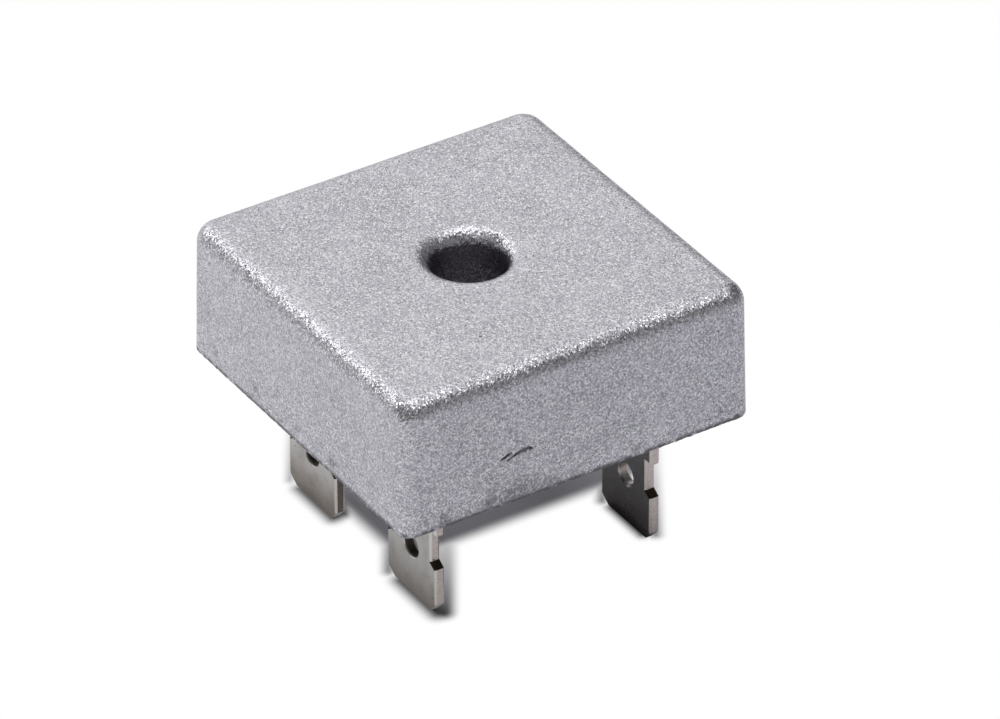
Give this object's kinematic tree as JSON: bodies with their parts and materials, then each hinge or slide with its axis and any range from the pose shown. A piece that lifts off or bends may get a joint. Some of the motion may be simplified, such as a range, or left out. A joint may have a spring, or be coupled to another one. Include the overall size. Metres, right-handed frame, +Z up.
{
  "type": "rectifier diode assembly",
  "caption": "Square metal-case bridge rectifier with a screw hole through its middle, standing on push-on blade terminals that come out of its resin-filled underside.",
  "frame": {"origin": "on the screw hole's axis, in the plane of the four blade tips that it stands on", "axes": "+Z up along the screw hole to the heatsink face, +X and +Y along the case's sides, with the negative blade in the corner where X and Y are negative"},
  "size_m": [0.0286, 0.0286, 0.0216],
  "materials": {
    "case": "fine bead-blasted",
    "terminal": "satin nickel plating",
    "resin": "cast epoxy, glossy",
    "insulator": "matt white ceramic",
    "die": "ground silicon",
    "solder": "dull tin"
  },
  "bodies": {
    "root": {"case": "case", "insulating_sheet": "insulator", "resin": "resin", "lead_negative": "terminal", "lead_ac_left": "terminal", "lead_ac_right": "terminal", "lead_positive": "terminal", "die_minus_left": "die", "solder_over_minus_left": "solder", "solder_under_minus_left": "solder", "die_minus_right": "die", "solder_over_minus_right": "solder", "solder_under_minus_right": "solder", "die_plus_right": "die", "solder_over_plus_right": "solder", "solder_under_plus_right": "solder", "die_plus_left": "die", "solder_over_plus_left": "solder", "solder_under_plus_left": "solder"}
  },
  "joints": []
}
